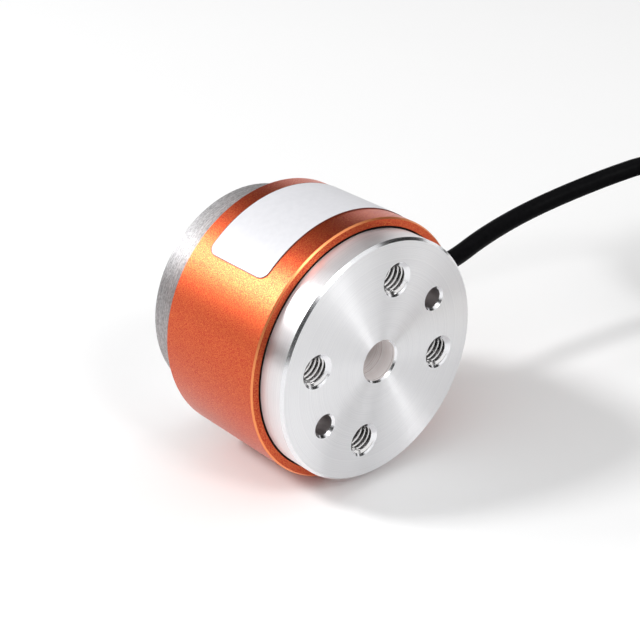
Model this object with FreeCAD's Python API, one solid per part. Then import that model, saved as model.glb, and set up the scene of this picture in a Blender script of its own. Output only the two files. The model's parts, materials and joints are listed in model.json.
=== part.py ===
import FreeCAD, Part
import math
import os

# Reaction torque sensor, in millimetres.
# Every sub-part is drawn in the sensor's own coordinates: the axis is Y, the front face is y = 0, the body runs
# back along +Y, X points right and Z up. Angles about the axis are clockwise from up, seen from the front.
# put_down() then lays the finished piece on its sleeve, with the origin under the middle of the body.

# Overall and flanges
LENGTH = 39.8
FRONT_FLANGE_THICKNESS = 9.5
REAR_FLANGE_THICKNESS = 11.0
COLLAR_THICKNESS = 2.5
EDGE_CHAMFER = 0.5
INNER_EDGE_CHAMFER = 0.3

# Torsion section between the flanges
TORSION_ACROSS_FLATS = 17.0
TORSION_CORNER_R = 4.0
TORSION_FILLET_R = 1.5
CENTRE_BORE_D = 8.0
CENTRE_BORE_MOUTH_D = 8.7

# Hole pattern, the same on both flanges
PITCH_CIRCLE_D = 32.0
PATTERN_ANGLE = 13.8
TAPPED_HOLE_COUNT = 4
TAPPED_HOLE_D = 5.0
TAPPED_HOLE_MOUTH_D = 7.0
TAPPED_HOLE_DEPTH = 7.0
DOWEL_HOLE_D = 4.0
DOWEL_HOLE_MOUTH_D = 4.9
DOWEL_HOLE_DEPTH = 6.0
DRILL_POINT_ANGLE = 118.0

# Cover sleeve
SLEEVE_D = 52.0
SLEEVE_WALL = 1.5
SLEEVE_FRONT = 5.8
SLEEVE_LIP = 2.0
SLEEVE_EDGE_CHAMFER = 0.3
FRONT_FLANGE_GAP = 0.5
REAR_FLANGE_STEP = 2.2
FIT_CLEARANCE = 0.05
CUT_PAST = 1.0

# Seal rings
SEAL_CORD_D = 1.0
SEAL_GROOVE_WIDTH = 1.2
FRONT_SEAL_SETBACK = 1.3
SEAL_CLEARANCE = 0.03

# Label
LABEL_START_ANGLE = -44.7
LABEL_SWEEP = 96.6
LABEL_INSET = 5.2
LABEL_WIDTH = 16.0
LABEL_THICKNESS = 0.12
LABEL_CORNER_R = 2.0
LABEL_CLEARANCE = 0.02

# Cable exit and its strain relief
CABLE_D = 4.0
EXIT_ANGLE = 93.0
EXIT_AHEAD_OF_COLLAR = 3.3
BOOT_LENGTH = 8.0
BOOT_COLLAR_D = 7.5
BOOT_COLLAR_HEIGHT = 1.3
BOOT_NECK_D = 5.4
BOOT_BASE_D = 6.2
BOOT_TIP_D = 5.0
BOOT_INNER_REACH = 1.6
BOOT_RIB_COUNT = 3
BOOT_GROOVE_WIDTH = 0.7
BOOT_GROOVE_DEPTH = 0.45
CLIP_THICKNESS = 0.8
CLIP_D = 6.4
CLIP_GROOVE_D = 4.4
CLIP_WALL_GAP = 0.3
CLIP_MOUTH = 3.5
BOOT_COLLAR_SINK = 0.75
BOOT_CLEARANCE = 0.02

# Strain gauges and their leads
GAUGE_LENGTH = 8.0
GAUGE_WIDTH = 6.0
GAUGE_FILM = 0.08
GAUGE_END_GAP = 0.05
GAUGE_GRID_LENGTH = 1.9
GAUGE_GRID_SETBACK = -0.8
GAUGE_GRID_WIDTH = 0.35
GAUGE_GRID_LINES = 5
GAUGE_GRID_PITCH = 0.6
GAUGE_GRID_HEIGHT = 0.05
GAUGE_TAB = 1.0
GAUGE_TAB_SPACING = 2.4
GAUGE_LEAD_D = 0.3
GAUGE_LEAD_LIFT = 1.4
GAUGE_PAD_TURN = 4.0
GAUGE_PAD_MARGIN = 6.0
GAUGE_PAD_INSET = 0.8

# Circuit board on the collar
BOARD_INNER_R = 12.6
BOARD_EDGE_GAP = 1.5
BOARD_THICKNESS = 1.0
BOARD_CENTRE_ANGLE = 238.8
BOARD_SWEEP = 210.0
SPACER_LENGTH = 1.3
SPACER_D = 4.0
BOARD_SCREW_ANGLES = (165.0, 312.6)
BOARD_SCREW_INSET = 3.0
BOARD_SCREW_D = 2.0
BOARD_SCREW_LENGTH = 5.0
BOARD_SCREW_HEAD_D = 3.6
BOARD_SCREW_HEAD_HEIGHT = 1.2
BOARD_SCREW_HEAD_SIDE = 0.7
BOARD_SCREW_HEAD_CROWN_D = 2.5
BOARD_SCREW_SLOT_WIDTH = 0.5
BOARD_SCREW_SLOT_DEPTH = 0.6
BOARD_SCREW_CLEARANCE = 0.1
THREAD_CLEARANCE = 0.02
RESISTOR_ANGLES = (215.0, 238.8, 262.6)
RESISTOR_LENGTH = 3.2
RESISTOR_WIDTH = 1.6
RESISTOR_HEIGHT = 0.55
RESISTOR_CAP = 0.5
RESISTOR_CAP_STEP = 0.05

# Conductors inside, from the boot to the board
CONDUCTOR_D = 0.8
CONDUCTOR_NAMES = ("shield_wire", "conductor_red", "conductor_black", "conductor_green", "conductor_white")
CONDUCTOR_STARTS = ((1.4, 0.0), (0.5, -0.7), (0.5, 0.7), (-0.7, -0.7), (-0.7, 0.7))
OUTER_TRACK_INSET = 1.6
TRACK_PITCH = 1.5
PAD_SETBACK_ANGLE = 7.0
SOLDER_GAP = 0.02
CONDUCTOR_TURN_IN = 0.9
CONDUCTOR_BENDS = ((0.42, 0.6, 2.2), (0.74, 0.0, 2.2), (1.0, 0.0, 1.9))

# Cable route, in the part's final coordinates: points chosen by hand between its straight starts at the boot
# and at the coil
FIRST_RUN = 8.0
CABLE_ROUTE = (
    (53.5, 3.1, 27.1),
    (68.0, 1.6, 30.0),
    (83.0, -5.9, 35.3),
)
LAST_RUN = 19.5

# Coil of the rest of the 3 m cable, wound for storage
COIL_CENTRE = (121.5, -36.5)
COIL_INNER_TURN_R = 16.5
COIL_PITCH = 4.05
COIL_COLUMNS = 3
COIL_LAYERS = 7
COIL_CORNER_R = 2.0
COIL_ENTRY_ANGLE = 72.2
COIL_ENTRY_SLOPE = 18.0
COIL_ENTRY_STUB = 13.5
COIL_EXIT_ANGLE = -90.0
COIL_EXIT_STUB = 14.5
TIE_THICKNESS = 0.8
TIE_WIDTH = 2.5
TIE_CLEARANCE = 0.1
TIE_CORNER_R = 2.4
TIE_HEAD = (4.4, 4.8, 3.2)
TIE_ANGLES = (45.0, 225.0)

# Free end of the cable: shrink sleeve and flying leads
TAIL_FIRST_RUN = 5.5
TAIL_ROUTE = ((95.5, -60.8, 2.5), (90.3, -60.4, 2.5))
END_SLEEVE_D = 5.0
END_SLEEVE_LENGTH = 12.0
END_SLEEVE_TAPERS = ((0.6, 0.3), (1.5, 0.4))
LEAD_D = 1.1
LEAD_CIRCLE_R = 1.35
LEAD_NAMES = ("lead_red", "lead_black", "lead_green", "lead_white", "lead_shield")
LEAD_START_ANGLES = (45.0, 135.0, 225.0, 315.0, None)
LEAD_SPREADS = (2.6, -2.0, -5.2, 6.0, 0.3)
LEAD_LENGTH = 32.0
LEAD_STRAIGHT = 5.8
LEAD_BENDS = ((0.38, 0.5), (0.66, 0.8), (0.97, 1.0))
LEAD_TIP_D = 0.8
LEAD_TIP_LENGTH = 4.0

# Values that follow from the ones above
SLEEVE_R = SLEEVE_D / 2
SLEEVE_INNER_R = SLEEVE_R - SLEEVE_WALL
FRONT_FLANGE_R = SLEEVE_INNER_R - FRONT_FLANGE_GAP
REAR_FLANGE_R = SLEEVE_INNER_R - REAR_FLANGE_STEP
REAR_FLANGE_FRONT = LENGTH - REAR_FLANGE_THICKNESS
COLLAR_FRONT = REAR_FLANGE_FRONT - COLLAR_THICKNESS
COLLAR_R = SLEEVE_INNER_R - FIT_CLEARANCE
SLEEVE_REAR = REAR_FLANGE_FRONT + SLEEVE_LIP
LABEL_FRONT = SLEEVE_FRONT + LABEL_INSET
EXIT_SETBACK = COLLAR_FRONT - EXIT_AHEAD_OF_COLLAR
TORSION_MIDDLE = (FRONT_FLANGE_THICKNESS + COLLAR_FRONT) / 2
TORSION_LENGTH = COLLAR_FRONT - FRONT_FLANGE_THICKNESS
ROOT_FILLET_R = min(TORSION_FILLET_R, (TORSION_LENGTH - GAUGE_LENGTH) / 2 - GAUGE_END_GAP)
PITCH_CIRCLE_R = PITCH_CIRCLE_D / 2
BOARD_OUTER_R = SLEEVE_INNER_R - BOARD_EDGE_GAP
BOARD_SCREW_CIRCLE_R = BOARD_OUTER_R - BOARD_SCREW_INSET
OUTER_TRACK_R = BOARD_OUTER_R - OUTER_TRACK_INSET
BOARD_BACK = COLLAR_FRONT - SPACER_LENGTH
BOARD_FRONT = BOARD_BACK - BOARD_THICKNESS
BOARD_START_ANGLE = BOARD_CENTRE_ANGLE - BOARD_SWEEP / 2
BOOT_TIP = SLEEVE_R + BOOT_LENGTH
BOOT_INNER_END = SLEEVE_INNER_R - CLIP_THICKNESS - BOOT_INNER_REACH
COIL_OUTER_TURN_R = COIL_INNER_TURN_R + (COIL_COLUMNS - 1) * COIL_PITCH
COIL_LIFT = TIE_THICKNESS + TIE_CLEARANCE
COIL_BOTTOM_TURN_Z = COIL_LIFT + CABLE_D / 2
COIL_TOP_TURN_Z = COIL_BOTTOM_TURN_Z + (COIL_LAYERS - 1) * COIL_PITCH
COIL_INNER_R = COIL_INNER_TURN_R - CABLE_D / 2
COIL_OUTER_R = COIL_OUTER_TURN_R + CABLE_D / 2
COIL_TOP = COIL_TOP_TURN_Z + CABLE_D / 2

ORIGIN = FreeCAD.Vector(0, 0, 0)
AXIS = FreeCAD.Vector(0, 1, 0)
BACKWARD = FreeCAD.Vector(0, 1, 0)
FORWARD = FreeCAD.Vector(0, -1, 0)
UP = FreeCAD.Vector(0, 0, 1)
PLACE = FreeCAD.Vector(0, -LENGTH / 2, SLEEVE_R)


def vector(point):
    return FreeCAD.Vector(*point)


def outward(angle):
    """Direction away from the axis at an angle clockwise from up."""
    turn = math.radians(angle)
    return FreeCAD.Vector(math.sin(turn), 0, math.cos(turn))


def around(angle):
    """Clockwise direction at an angle about the axis."""
    turn = math.radians(angle)
    return FreeCAD.Vector(math.cos(turn), 0, -math.sin(turn))


def polar(radius, angle, setback):
    return outward(angle) * radius + BACKWARD * setback


def turned(profile, start=90.0, sweep=360.0):
    """Solid turned about the sensor's axis from a closed outline of (radius, setback) points."""
    corners = [FreeCAD.Vector(radius, setback, 0) for radius, setback in profile]
    face = Part.Face(Part.makePolygon(corners + corners[:1]))
    solid = face.revolve(ORIGIN, AXIS, sweep)
    solid.rotate(ORIGIN, AXIS, start - 90.0)
    return solid


def turned_on(base, direction, profile):
    """Solid turned about any line from a closed outline of (distance along it, radius) points."""
    side = direction.cross(UP if abs(direction.z) < 0.9 else AXIS).normalize()
    corners = [base + direction * along + side * radius for along, radius in profile]
    face = Part.Face(Part.makePolygon(corners + corners[:1]))
    return face.revolve(base, direction, 360)


def brick(centre, along, across, normal, size):
    """Box on a plane: centred on a point, with its height growing along the normal."""
    length, width, height = size
    half_length = along * (length / 2)
    half_width = across * (width / 2)
    corners = [
        centre - half_length - half_width,
        centre + half_length - half_width,
        centre + half_length + half_width,
        centre - half_length + half_width,
    ]
    return Part.Face(Part.makePolygon(corners + corners[:1])).extrude(normal * height)


def drill_point(radius):
    return radius / math.tan(math.radians(DRILL_POINT_ANGLE / 2))


def drilled_hole(mouth, direction, radius, depth, mouth_radius):
    """Cutter for a blind hole with a chamfered mouth and a drill point."""
    chamfer = mouth_radius - radius
    profile = [
        (-chamfer, 0),
        (-chamfer, mouth_radius + chamfer),
        (chamfer, radius),
        (depth, radius),
        (depth + drill_point(radius), 0),
    ]
    return turned_on(mouth, direction, profile)


def put_down(shape):
    """Moves a shape from the sensor's own coordinates to the part's, lying on its sleeve."""
    shape.translate(PLACE)
    return shape


def smooth_path(points):
    """Straight runs joined by tangent arcs, each as large as its two runs allow."""
    edges = []
    radii = []
    here = points[0]
    for before, corner, after in zip(points, points[1:], points[2:]):
        into = (corner - before).normalize()
        out = (after - corner).normalize()
        half_turn = into.getAngle(out) / 2
        reach = 0.45 * min((corner - before).Length, (after - corner).Length)
        radius = reach / math.tan(half_turn)
        inward = (out - into).normalize()
        arc_start = corner - into * reach
        arc_end = corner + out * reach
        arc_middle = corner + inward * (radius / math.cos(half_turn) - radius)
        edges.append(Part.LineSegment(here, arc_start).toShape())
        edges.append(Part.Arc(arc_start, arc_middle, arc_end).toShape())
        radii.append(radius)
        here = arc_end
    edges.append(Part.LineSegment(here, points[-1]).toShape())
    return Part.Wire(edges), radii


def tube(points, diameter):
    """Round cord or wire along a route of points."""
    path, radii = smooth_path(points)
    direction = (points[1] - points[0]).normalize()
    ring = Part.Wire(Part.makeCircle(diameter / 2, points[0], direction))
    return path.makePipeShell([ring], True, False), path, radii


def wire(points, diameter):
    return tube(points, diameter)[0]


# Measuring body


def torsion_section():
    """Square shaft with round corners, whose flats carry the gauges."""
    side = TORSION_ACROSS_FLATS
    shaft = brick(
        FreeCAD.Vector(0, FRONT_FLANGE_THICKNESS, 0),
        outward(PATTERN_ANGLE),
        around(PATTERN_ANGLE),
        BACKWARD,
        (side, side, TORSION_LENGTH),
    )
    corners = [edge for edge in shaft.Edges if abs(edge.tangentAt(edge.FirstParameter).y) > 0.9]
    return shaft.makeFillet(TORSION_CORNER_R, corners)


def body_blank():
    """Front flange, collar and rear flange turned as one, joined by the torsion section."""
    front = turned([
        (0, 0),
        (FRONT_FLANGE_R - EDGE_CHAMFER, 0),
        (FRONT_FLANGE_R, EDGE_CHAMFER),
        (FRONT_FLANGE_R, FRONT_FLANGE_THICKNESS - INNER_EDGE_CHAMFER),
        (FRONT_FLANGE_R - INNER_EDGE_CHAMFER, FRONT_FLANGE_THICKNESS),
        (0, FRONT_FLANGE_THICKNESS),
    ])
    rear = turned([
        (0, COLLAR_FRONT),
        (COLLAR_R - INNER_EDGE_CHAMFER, COLLAR_FRONT),
        (COLLAR_R, COLLAR_FRONT + INNER_EDGE_CHAMFER),
        (COLLAR_R, REAR_FLANGE_FRONT),
        (REAR_FLANGE_R, REAR_FLANGE_FRONT),
        (REAR_FLANGE_R, LENGTH - EDGE_CHAMFER),
        (REAR_FLANGE_R - EDGE_CHAMFER, LENGTH),
        (0, LENGTH),
    ])
    blank = front.fuse(torsion_section()).fuse(rear).removeSplitter()
    reach = TORSION_ACROSS_FLATS / 2
    roots = []
    for edge in blank.Edges:
        box = edge.BoundBox
        flat = abs(box.YMin - box.YMax) < 1e-6
        at_root = min(abs(box.YMin - FRONT_FLANGE_THICKNESS), abs(box.YMin - COLLAR_FRONT)) < 1e-6
        near_axis = max(abs(box.XMin), abs(box.XMax), abs(box.ZMin), abs(box.ZMax)) < reach * math.sqrt(2)
        if flat and at_root and near_axis:
            roots.append(edge)
    return blank.makeFillet(ROOT_FILLET_R, roots)


def centre_bore():
    bore_r = CENTRE_BORE_D / 2
    mouth = CENTRE_BORE_MOUTH_D / 2 - bore_r
    return turned([
        (0, -mouth),
        (bore_r + 2 * mouth, -mouth),
        (bore_r, mouth),
        (bore_r, LENGTH - mouth),
        (bore_r + 2 * mouth, LENGTH + mouth),
        (0, LENGTH + mouth),
    ])


def flange_holes(face_setback, direction):
    """Tapped holes and two dowel holes on one flange, on one pitch circle."""
    cutters = []
    step = 360.0 / TAPPED_HOLE_COUNT
    for number in range(TAPPED_HOLE_COUNT):
        mouth = polar(PITCH_CIRCLE_R, PATTERN_ANGLE + number * step, face_setback)
        cutters.append(drilled_hole(
            mouth, direction, TAPPED_HOLE_D / 2, TAPPED_HOLE_DEPTH, TAPPED_HOLE_MOUTH_D / 2))
    for half_turn in (0.0, 180.0):
        mouth = polar(PITCH_CIRCLE_R, PATTERN_ANGLE + step / 2 + half_turn, face_setback)
        cutters.append(drilled_hole(
            mouth, direction, DOWEL_HOLE_D / 2, DOWEL_HOLE_DEPTH, DOWEL_HOLE_MOUTH_D / 2))
    return cutters


def seal_groove(outer_r, middle, cord_middle_r):
    """Groove that holds a seal ring, cut to its cord's inner side."""
    half = SEAL_GROOVE_WIDTH / 2
    bottom = cord_middle_r - SEAL_CORD_D / 2
    return turned([
        (bottom, middle - half),
        (outer_r + CUT_PAST, middle - half),
        (outer_r + CUT_PAST, middle + half),
        (bottom, middle + half),
    ])


def board_screw_holes():
    radius = BOARD_SCREW_D / 2 + THREAD_CLEARANCE
    depth = BOARD_SCREW_LENGTH - BOARD_THICKNESS - SPACER_LENGTH + BOARD_SCREW_CLEARANCE
    return [
        Part.makeCylinder(radius, depth, polar(BOARD_SCREW_CIRCLE_R, angle, COLLAR_FRONT), BACKWARD)
        for angle in BOARD_SCREW_ANGLES
    ]


def seal_middle_r():
    """Radius of the seal cords' middle: just clear of the sleeve's bore."""
    return SLEEVE_INNER_R - SEAL_CORD_D / 2 - SEAL_CLEARANCE


def front_seal_setback():
    return SLEEVE_FRONT + FRONT_SEAL_SETBACK


def rear_seal_setback():
    return COLLAR_FRONT + COLLAR_THICKNESS / 2


def measuring_body():
    cutters = [centre_bore()]
    cutters += flange_holes(0, BACKWARD)
    cutters += flange_holes(LENGTH, FORWARD)
    cutters += board_screw_holes()
    cutters.append(seal_groove(FRONT_FLANGE_R, front_seal_setback(), seal_middle_r()))
    cutters.append(seal_groove(COLLAR_R, rear_seal_setback(), seal_middle_r()))
    return body_blank().cut(cutters)


# Sleeve, seals and label


def cover_sleeve():
    """Thin tube round the torsion section, held on the collar by its rear lip."""
    chamfer = SLEEVE_EDGE_CHAMFER
    lip_r = REAR_FLANGE_R + FIT_CLEARANCE
    sleeve = turned([
        (SLEEVE_INNER_R, SLEEVE_FRONT),
        (SLEEVE_R - chamfer, SLEEVE_FRONT),
        (SLEEVE_R, SLEEVE_FRONT + chamfer),
        (SLEEVE_R, SLEEVE_REAR - chamfer),
        (SLEEVE_R - chamfer, SLEEVE_REAR),
        (lip_r, SLEEVE_REAR),
        (lip_r, REAR_FLANGE_FRONT),
        (SLEEVE_INNER_R, REAR_FLANGE_FRONT),
    ])
    start = polar(SLEEVE_INNER_R - CUT_PAST, EXIT_ANGLE, EXIT_SETBACK)
    hole_r = BOOT_NECK_D / 2 + BOOT_CLEARANCE
    hole = Part.makeCylinder(hole_r, SLEEVE_WALL + 2 * CUT_PAST, start, outward(EXIT_ANGLE))
    return sleeve.cut(hole)


def seal_ring(setback):
    return Part.makeTorus(
        seal_middle_r(), SEAL_CORD_D / 2 - SEAL_CLEARANCE, FreeCAD.Vector(0, setback, 0), AXIS)


def label_plate():
    """Thin label wrapped on the sleeve, with round corners."""
    inner = SLEEVE_R + LABEL_CLEARANCE
    outer = inner + LABEL_THICKNESS
    rear = LABEL_FRONT + LABEL_WIDTH
    band = turned(
        [(inner, LABEL_FRONT), (outer, LABEL_FRONT), (outer, rear), (inner, rear)],
        LABEL_START_ANGLE,
        LABEL_SWEEP,
    )
    corners = [edge for edge in band.Edges if abs(edge.Length - LABEL_THICKNESS) < 1e-6]
    return band.makeFillet(LABEL_CORNER_R, corners)


# Cable boot and its clip


def cable_boot():
    """Moulded strain relief: collar outside, neck through the wall, ribbed taper and a clip groove inside."""
    neck_r = BOOT_NECK_D / 2
    clip_base = SLEEVE_INNER_R - CLIP_THICKNESS - CLIP_WALL_GAP
    collar_top = SLEEVE_R + BOOT_COLLAR_HEIGHT
    profile = [
        (BOOT_INNER_END, 0),
        (BOOT_INNER_END, neck_r),
        (clip_base, neck_r),
        (clip_base, CLIP_GROOVE_D / 2),
        (clip_base + CLIP_THICKNESS, CLIP_GROOVE_D / 2),
        (clip_base + CLIP_THICKNESS, neck_r),
        (SLEEVE_R - BOOT_COLLAR_SINK, neck_r),
        (SLEEVE_R - BOOT_COLLAR_SINK, BOOT_COLLAR_D / 2),
        (collar_top, BOOT_COLLAR_D / 2),
        (collar_top, BOOT_BASE_D / 2),
    ]
    run = BOOT_TIP - collar_top
    rib_pitch = run / (BOOT_RIB_COUNT + 1)
    for rib in range(1, BOOT_RIB_COUNT + 1):
        middle = collar_top + rib * rib_pitch
        radius = (BOOT_BASE_D + (BOOT_TIP_D - BOOT_BASE_D) * rib / (BOOT_RIB_COUNT + 1)) / 2
        profile += [
            (middle - BOOT_GROOVE_WIDTH / 2, radius),
            (middle - BOOT_GROOVE_WIDTH / 2, radius - BOOT_GROOVE_DEPTH),
            (middle + BOOT_GROOVE_WIDTH / 2, radius - BOOT_GROOVE_DEPTH),
            (middle + BOOT_GROOVE_WIDTH / 2, radius),
        ]
    profile += [(BOOT_TIP, BOOT_TIP_D / 2), (BOOT_TIP, 0)]
    boot = turned_on(polar(0, EXIT_ANGLE, EXIT_SETBACK), outward(EXIT_ANGLE), profile)
    sunk_r = SLEEVE_R - BOOT_COLLAR_SINK
    seat = turned([
        (sunk_r - CUT_PAST, 0),
        (SLEEVE_R + BOOT_CLEARANCE, 0),
        (SLEEVE_R + BOOT_CLEARANCE, LENGTH),
        (sunk_r - CUT_PAST, LENGTH),
    ])
    start = polar(SLEEVE_INNER_R - CUT_PAST, EXIT_ANGLE, EXIT_SETBACK)
    neck_core = Part.makeCylinder(neck_r, SLEEVE_WALL + 2 * CUT_PAST, start, outward(EXIT_ANGLE))
    return boot.cut(seat.cut(neck_core))


def boot_clip():
    """Flat spring clip in the boot's inner groove, behind the sleeve's wall."""
    clip_base = SLEEVE_INNER_R - CLIP_THICKNESS - CLIP_WALL_GAP
    inner = CLIP_GROOVE_D / 2 + FIT_CLEARANCE
    ring = turned_on(polar(0, EXIT_ANGLE, EXIT_SETBACK), outward(EXIT_ANGLE), [
        (clip_base + FIT_CLEARANCE, inner),
        (clip_base + FIT_CLEARANCE, CLIP_D / 2),
        (clip_base + CLIP_THICKNESS - FIT_CLEARANCE, CLIP_D / 2),
        (clip_base + CLIP_THICKNESS - FIT_CLEARANCE, inner),
    ])
    mouth = brick(
        polar(clip_base, EXIT_ANGLE, EXIT_SETBACK) + FORWARD * (CLIP_D / 2),
        BACKWARD,
        around(EXIT_ANGLE),
        outward(EXIT_ANGLE),
        (CLIP_D, CLIP_MOUTH, CLIP_THICKNESS),
    )
    return ring.cut(mouth)


# Gauges, board and wires


def gauge_angle(number):
    return PATTERN_ANGLE + 90.0 * number


def strain_gauge(number):
    """Shear gauge on one flat: film, two comb grids at 45 degrees to the axis and two solder tabs."""
    angle = gauge_angle(number)
    normal = outward(angle)
    side = around(angle)
    centre = polar(TORSION_ACROSS_FLATS / 2, angle, TORSION_MIDDLE)
    film = brick(centre, BACKWARD, side, normal, (GAUGE_LENGTH, GAUGE_WIDTH, GAUGE_FILM))
    top = centre + normal * GAUGE_FILM
    raised = []
    for sign in (-1, 1):
        grid_line = (BACKWARD + side * sign).normalize()
        grid_step = (BACKWARD * -sign + side).normalize()
        for line in range(GAUGE_GRID_LINES):
            shift = (line - (GAUGE_GRID_LINES - 1) / 2) * GAUGE_GRID_PITCH
            base = top + side * (sign * GAUGE_WIDTH / 4) + BACKWARD * GAUGE_GRID_SETBACK
            size = (GAUGE_GRID_LENGTH, GAUGE_GRID_WIDTH, GAUGE_GRID_HEIGHT)
            raised.append(brick(base + grid_step * shift, grid_line, grid_step, normal, size))
        tab = gauge_tab(number, sign)
        raised.append(brick(tab, BACKWARD, side, normal, (GAUGE_TAB, GAUGE_TAB, GAUGE_GRID_HEIGHT)))
    return film.fuse(raised).removeSplitter()


def gauge_tab(number, sign):
    angle = gauge_angle(number)
    setback = TORSION_MIDDLE + GAUGE_LENGTH / 2 - GAUGE_TAB
    return polar(TORSION_ACROSS_FLATS / 2 + GAUGE_FILM, angle, setback) + around(angle) * (
        sign * GAUGE_TAB_SPACING / 2)


def gauge_pad_angle(number, sign):
    """Where a gauge's lead meets the board: beside its flat, or near the board's end."""
    turn = (gauge_angle(number) - BOARD_CENTRE_ANGLE + 180.0) % 360.0 - 180.0
    margin = GAUGE_PAD_MARGIN if sign * turn > 0 else GAUGE_PAD_MARGIN + 2 * GAUGE_PAD_TURN
    limit = BOARD_SWEEP / 2 - margin
    return BOARD_CENTRE_ANGLE + max(-limit, min(limit, turn + sign * GAUGE_PAD_TURN))


def gauge_leads(number):
    """Two thin leads from a gauge's tabs to the board's front."""
    leads = []
    for sign in (-1, 1):
        tab = gauge_tab(number, sign) + outward(gauge_angle(number)) * (GAUGE_GRID_HEIGHT + SOLDER_GAP)
        target = gauge_pad_angle(number, sign)
        pad = polar(BOARD_INNER_R + GAUGE_PAD_INSET, target, BOARD_FRONT - SOLDER_GAP)
        lifted = tab + outward(gauge_angle(number)) * GAUGE_LEAD_LIFT
        over = pad + FORWARD * GAUGE_LEAD_LIFT
        leads.append(wire([tab, lifted, over, pad], GAUGE_LEAD_D))
    return Part.makeCompound(leads)


def circuit_board():
    """Horseshoe board that slides onto the torsion section from the side."""
    board = turned(
        [
            (BOARD_INNER_R, BOARD_FRONT),
            (BOARD_OUTER_R, BOARD_FRONT),
            (BOARD_OUTER_R, BOARD_BACK),
            (BOARD_INNER_R, BOARD_BACK),
        ],
        BOARD_START_ANGLE,
        BOARD_SWEEP,
    )
    radius = BOARD_SCREW_D / 2 + BOARD_SCREW_CLEARANCE
    holes = [
        Part.makeCylinder(radius, BOARD_THICKNESS, polar(BOARD_SCREW_CIRCLE_R, angle, BOARD_FRONT), BACKWARD)
        for angle in BOARD_SCREW_ANGLES
    ]
    return board.cut(holes)


def board_spacers():
    rings = []
    for angle in BOARD_SCREW_ANGLES:
        base = polar(BOARD_SCREW_CIRCLE_R, angle, BOARD_BACK)
        outer = Part.makeCylinder(SPACER_D / 2, SPACER_LENGTH, base, BACKWARD)
        bore = Part.makeCylinder(BOARD_SCREW_D / 2 + BOARD_SCREW_CLEARANCE, SPACER_LENGTH, base, BACKWARD)
        rings.append(outer.cut(bore))
    return Part.makeCompound(rings)


def board_screws():
    """Pan head screws with a slot, through the board and its spacers into the collar."""
    screws = []
    for angle in BOARD_SCREW_ANGLES:
        seat = polar(BOARD_SCREW_CIRCLE_R, angle, BOARD_FRONT)
        head_r = BOARD_SCREW_HEAD_D / 2
        screw = turned_on(seat, BACKWARD, [
            (-BOARD_SCREW_HEAD_HEIGHT, 0),
            (-BOARD_SCREW_HEAD_HEIGHT, BOARD_SCREW_HEAD_CROWN_D / 2),
            (-BOARD_SCREW_HEAD_SIDE, head_r),
            (0, head_r),
            (0, BOARD_SCREW_D / 2),
            (BOARD_SCREW_LENGTH, BOARD_SCREW_D / 2),
            (BOARD_SCREW_LENGTH, 0),
        ])
        slot = brick(
            seat + FORWARD * BOARD_SCREW_HEAD_HEIGHT, outward(angle), around(angle), BACKWARD,
            (BOARD_SCREW_HEAD_D, BOARD_SCREW_SLOT_WIDTH, BOARD_SCREW_SLOT_DEPTH))
        screws.append(screw.cut(slot))
    return Part.makeCompound(screws)


def bridge_resistor(angle):
    """Chip resistor on the board's front, with its two end caps."""
    centre = polar((BOARD_INNER_R + BOARD_OUTER_R) / 2, angle, BOARD_FRONT)
    along = around(angle)
    across = outward(angle)
    cap_size = (RESISTOR_CAP, RESISTOR_WIDTH, RESISTOR_HEIGHT)
    chip_size = (
        RESISTOR_LENGTH - 2 * RESISTOR_CAP,
        RESISTOR_WIDTH - 2 * RESISTOR_CAP_STEP,
        RESISTOR_HEIGHT - RESISTOR_CAP_STEP,
    )
    chip = brick(centre, along, across, FORWARD, chip_size)
    shift = along * ((RESISTOR_LENGTH - RESISTOR_CAP) / 2)
    caps = [brick(centre + shift * sign, along, across, FORWARD, cap_size) for sign in (-1, 1)]
    return chip.fuse(caps)


def conductor(number):
    """One core inside: from the boot's inner end, round the torsion section to its pad on the board."""
    sideways, setback = CONDUCTOR_STARTS[number]
    track = OUTER_TRACK_R - number * TRACK_PITCH
    start = polar(BOOT_INNER_END - SOLDER_GAP, EXIT_ANGLE, EXIT_SETBACK + setback)
    start = start + around(EXIT_ANGLE) * sideways
    pad_angle = BOARD_START_ANGLE + PAD_SETBACK_ANGLE
    points = [start, start - outward(EXIT_ANGLE) * (BOOT_INNER_END - track + CONDUCTOR_TURN_IN)]
    for share, inset, height in CONDUCTOR_BENDS:
        angle = EXIT_ANGLE + share * (pad_angle - EXIT_ANGLE)
        points.append(polar(track - inset, angle, BOARD_FRONT - height))
    points.append(polar(track, pad_angle, BOARD_FRONT - SOLDER_GAP))
    return wire(points, CONDUCTOR_D)


# Cable, coil and free end, in the part's final coordinates


def coil_point(radius, angle, height):
    turn = math.radians(angle)
    x, y = COIL_CENTRE
    return FreeCAD.Vector(x + radius * math.cos(turn), y + radius * math.sin(turn), height)


def coil_heading(angle):
    """Clockwise direction along the coil, seen from above."""
    turn = math.radians(angle)
    return FreeCAD.Vector(math.sin(turn), -math.cos(turn), 0)


def coil_entry():
    """Where the cable meets the coil, above its innermost top turn, and its direction there."""
    slope = math.radians(COIL_ENTRY_SLOPE)
    direction = coil_heading(COIL_ENTRY_ANGLE) * math.cos(slope) - UP * math.sin(slope)
    touch = coil_point(COIL_INNER_TURN_R, COIL_ENTRY_ANGLE, COIL_TOP_TURN_Z)
    return touch - direction * (COIL_ENTRY_STUB / math.cos(slope)), direction


def coil_exit():
    """Where the cable leaves the coil's bottom turn, and its direction there."""
    direction = coil_heading(COIL_EXIT_ANGLE)
    touch = coil_point(COIL_OUTER_TURN_R, COIL_EXIT_ANGLE, COIL_BOTTOM_TURN_Z)
    return touch + direction * COIL_EXIT_STUB, direction


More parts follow.
